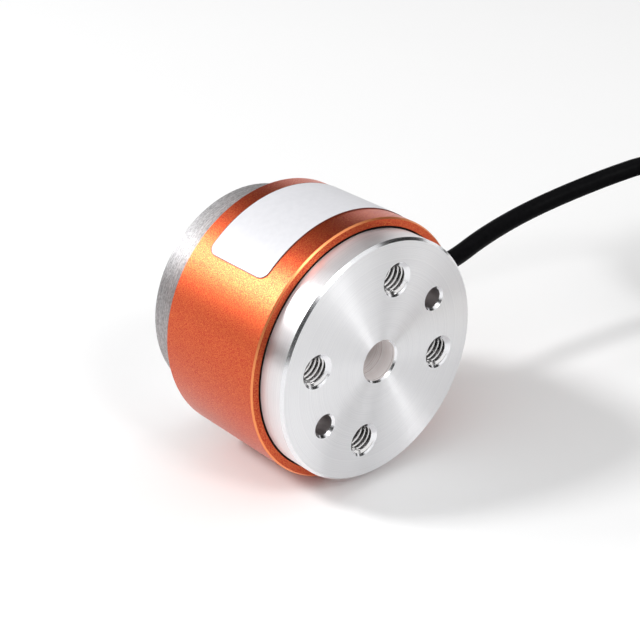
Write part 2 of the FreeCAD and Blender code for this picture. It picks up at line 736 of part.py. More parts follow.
def cable_points():
    start = put_down(Part.Vertex(polar(BOOT_TIP, EXIT_ANGLE, EXIT_SETBACK))).Point
    second = start + outward(EXIT_ANGLE) * FIRST_RUN
    end, direction = coil_entry()
    return [start, second] + [vector(point) for point in CABLE_ROUTE] + [end - direction * LAST_RUN, end]


def tail_points():
    start, direction = coil_exit()
    return [start, start + direction * TAIL_FIRST_RUN] + [vector(point) for point in TAIL_ROUTE]


def cable_coil():
    """Outer shape of the wound cable: a thick ring, with short straight starts for the cable's two ends."""
    x, y = COIL_CENTRE
    middle = FreeCAD.Vector(x, y, 0)
    corners = [
        middle + FreeCAD.Vector(radius, 0, height)
        for radius, height in (
            (COIL_INNER_R, COIL_LIFT),
            (COIL_OUTER_R, COIL_LIFT),
            (COIL_OUTER_R, COIL_TOP),
            (COIL_INNER_R, COIL_TOP),
        )
    ]
    section = Part.Face(Part.makePolygon(corners + corners[:1]))
    ring = section.revolve(middle, UP, 360)
    ring = ring.makeFillet(COIL_CORNER_R, [edge for edge in ring.Edges if edge.Closed])
    entry, into = coil_entry()
    entry_length = COIL_ENTRY_STUB / math.cos(math.radians(COIL_ENTRY_SLOPE))
    entry_stub = Part.makeCylinder(CABLE_D / 2, entry_length, entry, into)
    leaving, out = coil_exit()
    exit_stub = Part.makeCylinder(CABLE_D / 2, COIL_EXIT_STUB, leaving, out * -1)
    return ring.fuse([entry_stub, exit_stub]).removeSplitter()


def coil_tie(angle):
    """Plastic tie round the coil's section at one place, with its square head outside."""
    inner = COIL_INNER_R - TIE_CLEARANCE
    outer = COIL_OUTER_R + TIE_CLEARANCE
    top = COIL_TOP + TIE_CLEARANCE
    bottom = COIL_LIFT - TIE_CLEARANCE
    across = coil_heading(angle)
    along = coil_point(1, angle, 0) - coil_point(0, angle, 0)

    def loop(offset):
        low = coil_point(inner - offset, angle, bottom - offset) - across * (TIE_WIDTH / 2)
        span = outer - inner + 2 * offset
        height = top - bottom + 2 * offset
        corners = [low, low + along * span, low + along * span + UP * height, low + UP * height]
        block = Part.Face(Part.makePolygon(corners + corners[:1])).extrude(across * TIE_WIDTH)
        edges = [edge for edge in block.Edges if abs(edge.Length - TIE_WIDTH) < 1e-6]
        return block.makeFillet(TIE_CORNER_R - TIE_THICKNESS + offset, edges)

    length, width, height = TIE_HEAD
    head_base = coil_point(outer + TIE_THICKNESS / 2, angle, (COIL_LIFT + COIL_TOP) / 2)
    head = brick(head_base, UP, across, along, (length, width, height))
    return loop(TIE_THICKNESS).fuse(head).cut(loop(0)).removeSplitter()


def coil_ties():
    return Part.makeCompound([coil_tie(angle) for angle in TIE_ANGLES])


def end_direction():
    points = tail_points()
    direction = points[-1] - points[-2]
    return direction.normalize()


def end_sleeve():
    """Shrink sleeve where the jacket ends, narrowing a little at both ends."""
    radius = END_SLEEVE_D / 2
    (near_run, near_drop), (far_run, far_drop) = END_SLEEVE_TAPERS
    return turned_on(tail_points()[-1], end_direction(), [
        (0, 0),
        (0, radius - near_drop),
        (near_run, radius),
        (END_SLEEVE_LENGTH - far_run, radius),
        (END_SLEEVE_LENGTH, radius - far_drop),
        (END_SLEEVE_LENGTH, 0),
    ])


def lead_points(number):
    """Route of one flying lead: out of the sleeve, down to the surface and apart from its neighbours."""
    heading = end_direction()
    left = UP.cross(heading)
    start = tail_points()[-1] + heading * END_SLEEVE_LENGTH
    if LEAD_START_ANGLES[number] is not None:
        turn = math.radians(LEAD_START_ANGLES[number])
        start = start + left * (LEAD_CIRCLE_R * math.cos(turn)) + UP * (LEAD_CIRCLE_R * math.sin(turn))
    floor = LEAD_D / 2
    spread = LEAD_SPREADS[number]
    points = [start, start + heading * LEAD_STRAIGHT]
    for share, sideways in LEAD_BENDS:
        point = tail_points()[-1] + heading * (END_SLEEVE_LENGTH + share * LEAD_LENGTH)
        point = point + left * (spread * sideways)
        points.append(FreeCAD.Vector(point.x, point.y, floor))
    return points


def flying_lead(number):
    return wire(lead_points(number), LEAD_D)


def lead_tips():
    """Tinned ends of the five leads."""
    tips = []
    for number in range(len(LEAD_NAMES)):
        points = lead_points(number)
        direction = (points[-1] - points[-2]).normalize()
        tips.append(Part.makeCylinder(LEAD_TIP_D / 2, LEAD_TIP_LENGTH, points[-1], direction))
    return Part.makeCompound(tips)


def cable_tube(name, points):
    """Plain cord, with its bend radii and its volume against section times length."""
    solid, path, radii = tube(points, CABLE_D)
    section = math.pi * CABLE_D ** 2 / 4
    print(name, "radii", [round(radius, 1) for radius in radii], "length", round(path.Length, 1))
    print(name, "volume over section times length", round(solid.Volume / (section * path.Length), 4))
    return solid


def sensor_pieces():
    """The pieces drawn in the sensor's own coordinates."""
    pieces = {
        "measuring_body": measuring_body(),
        "cover_sleeve": cover_sleeve(),
        "front_seal_ring": seal_ring(front_seal_setback()),
        "rear_seal_ring": seal_ring(rear_seal_setback()),
        "label_plate": label_plate(),
        "cable_boot": cable_boot(),
        "boot_clip": boot_clip(),
        "circuit_board": circuit_board(),
        "board_spacers": board_spacers(),
        "board_screws": board_screws(),
    }
    for number in range(4):
        pieces[f"strain_gauge_{number + 1}"] = strain_gauge(number)
        pieces[f"gauge_leads_{number + 1}"] = gauge_leads(number)
    for number, angle in enumerate(RESISTOR_ANGLES):
        pieces[f"bridge_resistor_{number + 1}"] = bridge_resistor(angle)
    for number, name in enumerate(CONDUCTOR_NAMES):
        pieces[name] = conductor(number)
    return pieces


def cable_pieces():
    """The cable outside the sensor, drawn where it lies."""
    pieces = {
        "cable": cable_tube("cable", cable_points()),
        "cable_coil": cable_coil(),
        "cable_tail": cable_tube("cable_tail", tail_points()),
        "coil_ties": coil_ties(),
        "end_sleeve": end_sleeve(),
        "lead_tips": lead_tips(),
    }
    for number, name in enumerate(LEAD_NAMES):
        pieces[name] = flying_lead(number)
    return pieces


os.makedirs("parts", exist_ok=True)
for name, shape in sensor_pieces().items():
    put_down(shape).exportStep(f"parts/{name}.step")
for name, shape in cable_pieces().items():
    shape.exportStep(f"parts/{name}.step")
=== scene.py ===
import json
import math

import bmesh
import bpy
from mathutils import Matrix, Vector


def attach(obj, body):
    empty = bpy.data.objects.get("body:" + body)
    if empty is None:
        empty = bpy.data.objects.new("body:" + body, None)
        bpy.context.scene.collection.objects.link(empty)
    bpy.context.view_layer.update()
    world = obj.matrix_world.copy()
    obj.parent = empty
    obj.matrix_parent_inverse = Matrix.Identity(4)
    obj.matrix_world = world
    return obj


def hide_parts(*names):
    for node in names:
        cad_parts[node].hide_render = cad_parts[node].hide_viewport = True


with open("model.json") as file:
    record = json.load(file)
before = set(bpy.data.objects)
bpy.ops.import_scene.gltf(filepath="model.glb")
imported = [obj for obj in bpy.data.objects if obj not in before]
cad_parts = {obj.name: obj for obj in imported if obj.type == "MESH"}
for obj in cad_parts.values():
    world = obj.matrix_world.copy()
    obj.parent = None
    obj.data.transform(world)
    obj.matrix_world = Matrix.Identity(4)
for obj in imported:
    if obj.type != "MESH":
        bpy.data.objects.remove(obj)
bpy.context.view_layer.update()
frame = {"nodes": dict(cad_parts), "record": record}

# A reaction torque sensor lying on its sleeve: axis along Y, front face towards -Y, cable out to +X.
# Sizes are in millimetres. Angles about the axis are in degrees, clockwise from up, seen from the front.
# A setback is a distance behind the front face.
MM = 0.001

# Sensor, in the driving sizes of its solids
LENGTH = 39.8
FRONT_FLANGE_THICKNESS = 9.5
REAR_FLANGE_THICKNESS = 11.0
COLLAR_THICKNESS = 2.5
EDGE_CHAMFER = 0.5
INNER_EDGE_CHAMFER = 0.3
TORSION_ACROSS_FLATS = 17.0
TORSION_CORNER_R = 4.0
TORSION_FILLET_R = 1.5
BORE_R = 4.0
BORE_MOUTH_R = 4.35
PITCH_R = 16.0
PATTERN_ANGLE = 13.8
SLEEVE_R = 26.0
SLEEVE_WALL = 1.5
SLEEVE_FRONT = 5.8
SLEEVE_LIP = 2.0
SLEEVE_EDGE = 0.3
FRONT_FLANGE_GAP = 0.5
REAR_FLANGE_STEP = 2.2
FIT_CLEARANCE = 0.05
SEAL_GROOVE_BOTTOM_R = 23.47
SEAL_GROOVE_WIDTH = 1.2
FRONT_SEAL_BEHIND_SLEEVE = 1.3
EXIT_ANGLE = 93.0
EXIT_AHEAD_OF_COLLAR = 3.3
EXIT_HOLE_R = 2.72
LABEL_START = -44.7
LABEL_SWEEP = 96.6
LABEL_INSET = 5.2
LABEL_WIDTH = 16.0
LABEL_CLEARANCE = 0.02
LABEL_THICKNESS = 0.12
LABEL_CORNER_R = 2.0

# Sizes that only the scene's pieces have
TORSION_OVERLAP = 1.0
SLEEVE_MOUTH_R = 24.36
SLEEVE_MOUTH_DEPTH = 0.7
SLEEVE_MOUTH_END = 0.9
# Painted shade: the near-black zone on the flange's side starts this far ahead of the sleeve
GAP_SHADE_AHEAD_OF_SLEEVE = 0.1
EXIT_CUT_INSET = 2.0
EXIT_CUT_DEPTH = 5.0
# Width of the label's rim, which carries a painted shadow
LABEL_RIM = 0.16

# Sizes that follow from these
AXIS_HEIGHT = SLEEVE_R
SLEEVE_INNER_R = SLEEVE_R - SLEEVE_WALL
FRONT_FLANGE_R = SLEEVE_INNER_R - FRONT_FLANGE_GAP
REAR_FLANGE_R = SLEEVE_INNER_R - REAR_FLANGE_STEP
REAR_FLANGE_FRONT = LENGTH - REAR_FLANGE_THICKNESS
COLLAR_FRONT = REAR_FLANGE_FRONT - COLLAR_THICKNESS
COLLAR_R = SLEEVE_INNER_R - FIT_CLEARANCE
BORE_MOUTH_DEPTH = BORE_MOUTH_R - BORE_R
DOWEL_ANGLE = PATTERN_ANGLE + 45.0
SLEEVE_REAR = REAR_FLANGE_FRONT + SLEEVE_LIP
SLEEVE_LIP_R = REAR_FLANGE_R + FIT_CLEARANCE
FRONT_SEAL_SETBACK = SLEEVE_FRONT + FRONT_SEAL_BEHIND_SLEEVE
REAR_SEAL_SETBACK = (COLLAR_FRONT + REAR_FLANGE_FRONT) / 2
GAP_SHADE_FRONT = SLEEVE_FRONT - GAP_SHADE_AHEAD_OF_SLEEVE
EXIT_SETBACK = COLLAR_FRONT - EXIT_AHEAD_OF_COLLAR
LABEL_FRONT = SLEEVE_FRONT + LABEL_INSET
LABEL_R = SLEEVE_R + LABEL_CLEARANCE

# Tapped holes: the thread's outline has (share of the pitch, radius)
THREAD_PITCH = 1.0
THREAD_PROFILE = (
    (0.0, 2.5),
    (0.125, 2.5),
    (0.25, 2.5),
    (0.41, 2.75),
    (0.5625, 3.0),
    (0.6875, 3.0),
    (0.84, 2.75),
)
THREAD_TURNS = 8
THREAD_START = -1.6
THREAD_FRONT_TIP = -3.2
THREAD_REAR_TIP = 8.5

# Holes' outlines have (depth, radius)
TAPPED_MOUTH_PROFILE = ((-0.4, 0), (-0.4, 3.86), (0.768, 2.4), (0.768, 0))
DOWEL_MOUTH_DEPTH = 0.45
DOWEL_PROFILE = ((-0.45, 0), (-0.45, 2.9), (DOWEL_MOUTH_DEPTH, 2.0), (6.0, 2.0), (7.2, 0))
NEAR_DOWEL_R = 2.6

# Fineness of the meshes: steps round a full turn, round a corner or along a stretch
LATHE_STEPS = 256
HOLE_STEPS = 64
BORE_STEPS = 96
THREAD_STEPS = 72
TORSION_FILLET_STEPS = 8
TORSION_CORNER_STEPS = 12
LABEL_CORNER_STEPS = 12
LABEL_STEPS = 60
CORD_STEPS = 6

# Shading: a ring of points keeps a face's middle apart, and edges turned by more than these angles are sharp
FACE_RING_R = 10.0
CUT_SHARP_ANGLE = 16.0
LABEL_SHARP_ANGLE = 28.0

# A face's middle has to be this far inside a stretch, or this near a surface, to belong to it
FACE_MARGIN = 0.01
SURFACE_MARGIN = 0.1
MOUTH_MARGIN = 0.02

# Cable: the part's route, then the coil's turns and the tail. A seat in the coil is (column, layer), and the
# cord's length is in metres.
CABLE_R = 2.0
CABLE_ROUTE = (
    (33.953, 3.1, 24.221),
    (41.942, 3.1, 23.802),
    (53.5, 3.1, 27.1),
    (68.0, 1.6, 30.0),
    (83.0, -5.9, 35.3),
)
COIL_CENTRE = (121.5, -36.5)
COIL_INNER_TURN_R = 16.5
COIL_PITCH = 4.05
COIL_BOTTOM_Z = 2.9
COIL_TOP_LAYER = 6
COIL_SEATS = (
    [(0, layer) for layer in range(COIL_TOP_LAYER, -1, -1)]
    + [(1, layer) for layer in range(COIL_TOP_LAYER + 1)]
    + [(2, layer) for layer in range(COIL_TOP_LAYER, -1, -1)]
)
COIL_ENTRY_ANGLE = 72.2
COIL_ENTRY_SLOPE = 18.0
COIL_ENTRY_RUN = 32.05
COIL_EXIT_ANGLE = -90.0
COIL_STEPS = 328
COIL_STEP_SHARE = 0.2
COIL_BULGE = 1.5
TAIL_ROUTE = ((101.5, -61.1, 2.9), (95.5, -60.8, 2.5), (90.3, -60.4, 2.5))
END_SLEEVE_LENGTH = 12.0

# Flying leads: the angle where each starts round the cable's end, None for its middle, and its spread to the
# left. Their bends have (share of the length, share of the spread).
LEAD_R = 0.55
LEAD_LENGTH = 32.0
LEAD_STRAIGHT = 5.8
LEAD_CIRCLE_R = 1.35
LEAD_BENDS = ((0.38, 0.5), (0.66, 0.8), (0.97, 1.0))
LEADS = {
    "lead_red": (45.0, 2.6),
    "lead_black": (135.0, -2.0),
    "lead_green": (225.0, -5.2),
    "lead_white": (315.0, 6.0),
    "lead_shield": (None, 0.3),
}

# Camera, from the fit to the photograph
CAMERA_PLACE = (-164.50, -186.22, 160.21)
CAMERA_FORWARD = (0.588988, 0.655064, -0.47327)
CAMERA_LENS = 82.24
CAMERA_SENSOR_WIDTH = 36.0
CAMERA_CLIP_START = 10.0

# Lamps: direction, distance and size in metres, and the share of full white that each gives a white surface
LAMPS = (
    ("key", (-0.573, 0.427, 0.699), 1.3, 0.25, 0.47),
    ("side_strip", (-0.56, 0.63, 0.54), 1.3, 0.26, 0.15),
    ("front_softbox", (-0.05, -0.70, 0.71), 1.3, 0.34, 0.20),
)

# A bright panel and dark flags that only show in reflections: direction, then distance, width and height in
# metres, and glow
FLAGS = (
    ("soft_panel", (-0.50, 0.62, 0.60), 1.2, 0.50, 0.40, 12.0),
    ("flag_back", (0.45, 0.62, 0.60), 1.2, 0.95, 0.75, 0.02),
    ("flag_right", (0.78, -0.40, 0.46), 1.2, 1.05, 0.62, 0.03),
    ("flag_left", (-1.0, -0.10, 0.12), 1.2, 2.30, 0.34, 0.04),
    ("flag_camera", (-0.54, -0.72, 0.40), 1.2, 0.50, 0.75, 0.05),
    ("flag_top", (-0.08, 0.28, 0.95), 1.2, 0.26, 0.95, 0.06),
)

# Ambient light on matt surfaces: a level strength, and what is added towards X, Y and Z
AMBIENT_LOW = 0.16
AMBIENT_SLOPE = (-0.22, -0.20, 0.60)

# Floor's reach, and on which sides of its middle each corner of the floor or of a flag is
FLOOR_REACH = 4000.0
CORNER_SIDES = ((-1, -1), (1, -1), (1, 1), (-1, 1))


def mm(*point):
    return Vector(point) * MM


def put_in_scene(name, data):
    made = bpy.data.objects.new(name, data)
    bpy.context.scene.collection.objects.link(made)
    return made


def new_piece(name, data, slot):
    """Shown piece that moves with the one body."""
    data.materials.append(MATERIALS[slot])
    piece = put_in_scene(name, data)
    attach(piece, "root")
    return piece


def add_materials(piece, *names):
    """Gives a piece more materials and returns their numbers in it."""
    numbers = {}
    for name in names:
        numbers[name] = len(piece.data.materials)
        piece.data.materials.append(MATERIALS[name])
    return numbers


# Meshes


def mesh_from(name, points, faces):
    mesh = bpy.data.meshes.new(name)
    mesh.from_pydata([mm(*point) for point in points], [], faces)
    work = bmesh.new()
    work.from_mesh(mesh)
    bmesh.ops.recalc_face_normals(work, faces=work.faces)
    work.to_mesh(mesh)
    work.free()
    return mesh


def smooth(mesh, sharp_angle):
    """Smooth shading, but sharp edges where faces turn by more than an angle."""
    mesh.shade_smooth()
    mesh.set_sharp_from_angle(angle=math.radians(sharp_angle))


def on_axis(radius, angle, setback):
    """Point in the part's frame from its radius and angle about the sensor's axis and its setback."""
    turn = math.radians(angle)
    return (radius * math.sin(turn), setback - LENGTH / 2, AXIS_HEIGHT + radius * math.cos(turn))


def off_line(face, line):
    """Distance of a face's middle from a line along Y through a point, and its setback."""
    x, y, z = face.center / MM
    return math.hypot(x - line[0], z - line[2]), y + LENGTH / 2


def by_hole(place, inward, depth, radius, turn):
    """Point beside a hole's line, at a depth from the hole's place."""
    side = Vector(inward).orthogonal().normalized()
    up = Vector(inward).cross(side)
    return Vector(place) + Vector(inward) * depth + (side * math.cos(turn) + up * math.sin(turn)) * radius


def turned(name, outline, point_at, steps):
    """Closed mesh of an outline's points turned about a line; a point with radius 0 becomes a pole."""
    points = []
    rows = []
    for along, radius in outline:
        count = steps if radius else 1
        rows.append(range(len(points), len(points) + count))
        points += [point_at(along, radius, step) for step in range(count)]
    faces = []
    for low, high in zip(rows, rows[1:] + rows[:1]):
        if len(low) == 1 and len(high) == 1:
            continue
        for step in range(steps):
            after = (step + 1) % steps
            near = [low[step % len(low)], low[after % len(low)]]
            far = [high[after % len(high)], high[step % len(high)]]
            faces.append(list(dict.fromkeys(near + far)))
    return mesh_from(name, points, faces)


def lathe(name, outline):
    """Outline of (setback, radius) turned about the sensor's axis."""

    def point_at(setback, radius, step):
        return on_axis(radius, 360.0 * step / LATHE_STEPS, setback)

    return turned(name, outline, point_at, LATHE_STEPS)


def drilled(name, place, inward, outline, steps=HOLE_STEPS):
    """Cutter with an outline of (depth, radius) turned about a hole's line."""

    def point_at(depth, radius, step):
        return by_hole(place, inward, depth, radius, 2 * math.pi * step / steps)

    return turned(name, outline, point_at, steps)


def tapped(name, place, inward):
    """Closed cutter for a tapped hole: rows of points along the thread's helix, and a point at each end."""
    per_turn = len(THREAD_PROFILE)
    rows = THREAD_TURNS * per_turn
    points = []
    index = {}
    for row in range(rows + per_turn + 1):
        share, thread_r = THREAD_PROFILE[row % per_turn]
        for step in range(THREAD_STEPS if row <= rows else 1):
            depth = (row // per_turn + share + step / THREAD_STEPS) * THREAD_PITCH + THREAD_START
            index[row, step] = len(points)
            points.append(by_hole(place, inward, depth, thread_r, 2 * math.pi * step / THREAD_STEPS))
    faces = []
    for row in range(rows):
        for step in range(THREAD_STEPS):
            near, far = (row, step), (row + 1, step)
            next_near = (row, step + 1) if step + 1 < THREAD_STEPS else (row + per_turn, 0)
            next_far = (row + 1, step + 1) if step + 1 < THREAD_STEPS else (row + 1 + per_turn, 0)
            faces.append([index[key] for key in (near, next_near, next_far, far)])
    for row, depth in ((0, THREAD_FRONT_TIP), (rows, THREAD_REAR_TIP)):
        points.append(by_hole(place, inward, depth, 0, 0))
        rim = [index[row, step] for step in range(THREAD_STEPS)]
        rim += [index[row + back, 0] for back in range(per_turn, 0, -1)]
        for first, second in zip(rim, rim[1:] + rim[:1]):
            faces.append([len(points) - 1, first, second])
    return mesh_from(name, points, faces)


def boolean(piece, mesh, operation, material_mode):
    """Exact boolean of a piece with a closed mesh, which is used up."""
    tool = put_in_scene(mesh.name, mesh)
    modifier = piece.modifiers.new("boolean", "BOOLEAN")
    modifier.operation = operation
    modifier.solver = "EXACT"
    modifier.material_mode = material_mode
    modifier.object = tool
    bpy.context.view_layer.update()
    evaluated = piece.evaluated_get(bpy.context.evaluated_depsgraph_get())
    result = bpy.data.meshes.new_from_object(evaluated)
    piece.modifiers.clear()
    piece.data = result
    bpy.data.objects.remove(tool)
    bpy.data.meshes.remove(mesh)


def join(piece, added):
    """Adds a closed mesh to a piece."""
    boolean(piece, added, "UNION", "INDEX")


def cut(piece, cutters, material):
    """Takes the cutters' meshes away from a piece; the new walls get the named material."""
    work = bmesh.new()
    for cutter in cutters:
        work.from_mesh(cutter)
        bpy.data.meshes.remove(cutter)
    joined = bpy.data.meshes.new(piece.name + "_cutter")
    work.to_mesh(joined)
    work.free()
    joined.materials.append(MATERIALS[material])
    boolean(piece, joined, "DIFFERENCE", "TRANSFER")
    smooth(piece.data, CUT_SHARP_ANGLE)


def torsion_mesh(name):
    """Square shaft with round corners and a fillet at each root, reaching a little into both flanges."""
    rows = []
    for step in range(TORSION_FILLET_STEPS + 1):
        turn = math.radians(90.0 * step / TORSION_FILLET_STEPS)
        grown = TORSION_FILLET_R * (1 - math.sin(turn))
        rows.append((FRONT_FLANGE_THICKNESS + TORSION_FILLET_R * (1 - math.cos(turn)), grown))
    rows += [(FRONT_FLANGE_THICKNESS + COLLAR_FRONT - setback, grown) for setback, grown in reversed(rows)]
    first, last = rows[0], rows[-1]
    rows = [(first[0] - TORSION_OVERLAP, first[1])] + rows + [(last[0] + TORSION_OVERLAP, last[1])]
    points = []
    reach = (TORSION_ACROSS_FLATS / 2 - TORSION_CORNER_R) * math.sqrt(2)
    for setback, grown in rows:
        corner_r = TORSION_CORNER_R + grown
        for corner in range(4):
            centre_turn = math.radians(90.0 * corner + 45.0)
            for step in range(TORSION_CORNER_STEPS + 1):
                turn = math.radians(90.0 * corner + 90.0 * step / TORSION_CORNER_STEPS)
                across = reach * math.cos(centre_turn) + corner_r * math.cos(turn)
                along = reach * math.sin(centre_turn) + corner_r * math.sin(turn)
                angle = PATTERN_ANGLE + math.degrees(math.atan2(along, across))
                points.append(on_axis(math.hypot(across, along), angle, setback))
    faces = []
    per_row = 4 * (TORSION_CORNER_STEPS + 1)
    for row in range(len(rows) - 1):
        low, high = row * per_row, (row + 1) * per_row
        for step in range(per_row):
            after = (step + 1) % per_row
            faces.append((low + step, low + after, high + after, high + step))
    for start in (0, len(points) - per_row):
        faces.append(tuple(range(start, start + per_row)))
    return mesh_from(name, points, faces)


def label_mesh(name):
    """Thin wrapped label with round corners, of four points across at each station, above and underneath.

    Its narrow rim has the second material: dark reddish brown, a painted shadow along the label's edge.
    """
    radius = LABEL_R + LABEL_THICKNESS
    length = math.radians(LABEL_SWEEP) * radius
    rear = LABEL_FRONT + LABEL_WIDTH
    turns = [math.radians(90.0 * step / LABEL_CORNER_STEPS) for step in range(LABEL_CORNER_STEPS + 1)]
    ends = [LABEL_CORNER_R * (1 - math.cos(turn)) for turn in turns] + [LABEL_RIM]
    straight = length - 2 * LABEL_CORNER_R
    middle = [LABEL_CORNER_R + straight * step / LABEL_STEPS for step in range(1, LABEL_STEPS)]
    stations = sorted(ends + middle + [length - run for run in ends])
    points = []
    faces = []
    rim_faces = []
    across = 4

    def inset(run, rim):
        """How far the outline, or the rim's inner line, stands in from the long edges."""
        near = max(0.0, LABEL_CORNER_R - min(run, length - run))
        inner_r = LABEL_CORNER_R - rim
        return LABEL_CORNER_R - math.sqrt(max(0.0, inner_r ** 2 - near ** 2))

    for depth in (LABEL_THICKNESS, 0.0):
        for run in stations:
            angle = LABEL_START + math.degrees(run / radius)
            outer, inner = inset(run, 0.0), inset(run, LABEL_RIM)
            for setback in (LABEL_FRONT + outer, LABEL_FRONT + inner, rear - inner, rear - outer):
                points.append(on_axis(LABEL_R + depth, angle, setback))
    under = across * len(stations)
    for station in range(len(stations) - 1):
        near, far = across * station, across * (station + 1)
        middle_run = (stations[station] + stations[station + 1]) / 2
        at_end = min(middle_run, length - middle_run) < LABEL_RIM
        for strip in range(across - 1):
            if strip != 1 or at_end:
                rim_faces.append(len(faces))
            faces.append((near + strip, near + strip + 1, far + strip + 1, far + strip))
        for strip in range(across - 1):
            rim_faces.append(len(faces))
            quad = (far + strip, far + strip + 1, near + strip + 1, near + strip)
            faces.append(tuple(under + point for point in quad))
        for edge in (0, across - 1):
            rim_faces.append(len(faces))
            faces.append((near + edge, far + edge, under + far + edge, under + near + edge))
    for station in (0, len(stations) - 1):
        near = across * station
        for strip in range(across - 1):
            rim_faces.append(len(faces))
            faces.append((near + strip, near + strip + 1, under + near + strip + 1, under + near + strip))
    mesh = mesh_from(name, points, faces)
    for number in rim_faces:
        mesh.polygons[number].material_index = 1
    return mesh


# Curves


def cord_curve(name, points, radius, slot):
    """Smooth cord: one open NURBS spline with the route's points as its control points."""
    data = bpy.data.curves.new(name, "CURVE")
    data.dimensions = "3D"
    data.bevel_depth = radius * MM
    data.bevel_resolution = CORD_STEPS
    data.resolution_u = CORD_STEPS
    data.use_fill_caps = True
    spline = data.splines.new("NURBS")
    spline.points.add(len(points) - 1)
    for target, point in zip(spline.points, points):
        target.co = (*mm(*point), 1.0)
    spline.order_u = 3
    spline.use_endpoint_u = True
    return new_piece(name, data, slot)


def coil_points():
    """Control points of the coil's turns: circles, each stepping to its next seat over a short stretch.

    They stand a little outside, half a step off, so that the curve touches each circle.
    """
    sweep = COIL_ENTRY_ANGLE - COIL_EXIT_ANGLE + 360.0 * (len(COIL_SEATS) - 1)
    step = sweep / COIL_STEPS
    x, y = COIL_CENTRE
    points = []
    for number in range(COIL_STEPS + 1):
        turns = max(0.0, (number - 0.5) * step / 360.0)
        seat = min(int(turns), len(COIL_SEATS) - 1)
        share = max(0.0, (turns - seat - 1.0 + COIL_STEP_SHARE) / COIL_STEP_SHARE)
        blend = share * share * (3.0 - 2.0 * share)
        column, layer = COIL_SEATS[seat]
        next_column, next_layer = COIL_SEATS[min(seat + 1, len(COIL_SEATS) - 1)]
        radius = COIL_INNER_TURN_R + COIL_PITCH * (column + (next_column - column) * blend)
        height = COIL_BOTTOM_Z + COIL_PITCH * (layer + (next_layer - layer) * blend)
        if next_column != column and layer == COIL_TOP_LAYER:
            height += COIL_BULGE * 4.0 * blend * (1.0 - blend)
        if number == 0:
            height += radius * math.tan(math.radians(step / 2)) * math.tan(math.radians(COIL_ENTRY_SLOPE))
        spread = radius / math.cos(math.radians(step / 2))
        turn = math.radians(COIL_ENTRY_ANGLE - step * (number - 0.5))
        points.append((x + spread * math.cos(turn), y + spread * math.sin(turn), height))
    return points


def coil_approach():
    """Start of the straight run down to the coil's innermost top turn."""
    turn = math.radians(COIL_ENTRY_ANGLE)
    x, y = COIL_CENTRE
    height = COIL_BOTTOM_Z + COIL_TOP_LAYER * COIL_PITCH
    return (
        x + COIL_INNER_TURN_R * math.cos(turn) - COIL_ENTRY_RUN * math.sin(turn),
        y + COIL_INNER_TURN_R * math.sin(turn) + COIL_ENTRY_RUN * math.cos(turn),
        height + COIL_ENTRY_RUN * math.tan(math.radians(COIL_ENTRY_SLOPE)),
    )


def lead_route(start_angle, spread):
    """Control points of one flying lead, from the end sleeve down to the floor."""
    last, before = Vector(TAIL_ROUTE[-1]), Vector(TAIL_ROUTE[-2])
    heading = (last - before).normalized()
    left = Vector((0, 0, 1)).cross(heading)
    sleeve_end = last + heading * END_SLEEVE_LENGTH
    start = sleeve_end.copy()
    if start_angle is not None:
        turn = math.radians(start_angle)
        start += left * (LEAD_CIRCLE_R * math.cos(turn)) + Vector((0, 0, LEAD_CIRCLE_R * math.sin(turn)))
    points = [start, start + heading * LEAD_STRAIGHT]
    for share, sideways in LEAD_BENDS:
        point = sleeve_end + heading * (share * LEAD_LENGTH) + left * (spread * sideways)
        points.append(Vector((point.x, point.y, LEAD_R)))
    return points


# Materials, in which noise scales are per millimetre

NOISE_RANGE = (0.3, 0.7)
RING_RANGE = (0.35, 0.65)
WHOLE = (0.0, 1.0)


class Nodes:
    """Adds nodes to one tree and links them. A constant goes straight on its socket."""

    def __init__(self, tree):
        self.tree = tree

    def add(self, kind, **settings):
        node = self.tree.nodes.new(kind)
        for name, value in settings.items():
            setattr(node, name, value)
        return node

    def link(self, source, target):
        self.tree.links.new(source, target)

    def put(self, socket, value):
        if hasattr(value, "is_output"):
            self.link(value, socket)
        else:
            socket.default_value = value

    def math(self, operation, first, second=0.0, third=0.0):
        node = self.add("ShaderNodeMath", operation=operation)
        for socket, value in zip(node.inputs, (first, second, third)):
            self.put(socket, value)
        return node.outputs[0]

    def vector_math(self, operation, vector, constant):
        node = self.add("ShaderNodeVectorMath", operation=operation)
        self.link(vector, node.inputs[0])
        node.inputs[1].default_value = constant
        return node

    def remap(self, value, old_range, new_range):
        node = self.add("ShaderNodeMapRange")
        for number, item in enumerate((value, *old_range, *new_range)):
            self.put(node.inputs[number], item)
        return node.outputs[0]


